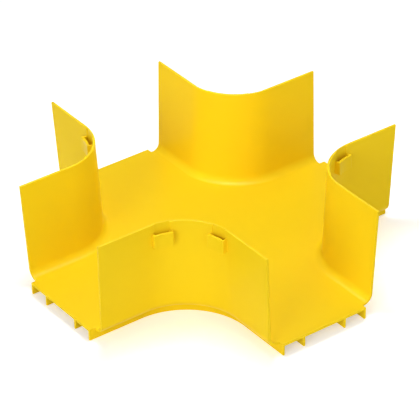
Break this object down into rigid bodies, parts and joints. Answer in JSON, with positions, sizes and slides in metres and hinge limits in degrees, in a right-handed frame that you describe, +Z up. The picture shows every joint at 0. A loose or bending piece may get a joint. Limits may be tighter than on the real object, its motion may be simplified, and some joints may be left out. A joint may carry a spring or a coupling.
{
  "type": "fibre raceway cross fitting",
  "caption": "One-piece yellow plastic cross that joins open-top fibre raceway at right angles, with curved leaning walls, ribs under the floor and cover-latch loops.",
  "frame": {"origin": "middle of the cross, on the plane that the ribs rest on", "axes": "+Z up out of the open channel, X and Y along the two channels, one mouth at each end"},
  "size_m": [0.355, 0.355, 0.1125],
  "materials": {
    "yellow_plastic": "moulded satin"
  },
  "bodies": {
    "root": {"cross_body": "yellow_plastic"}
  },
  "joints": []
}
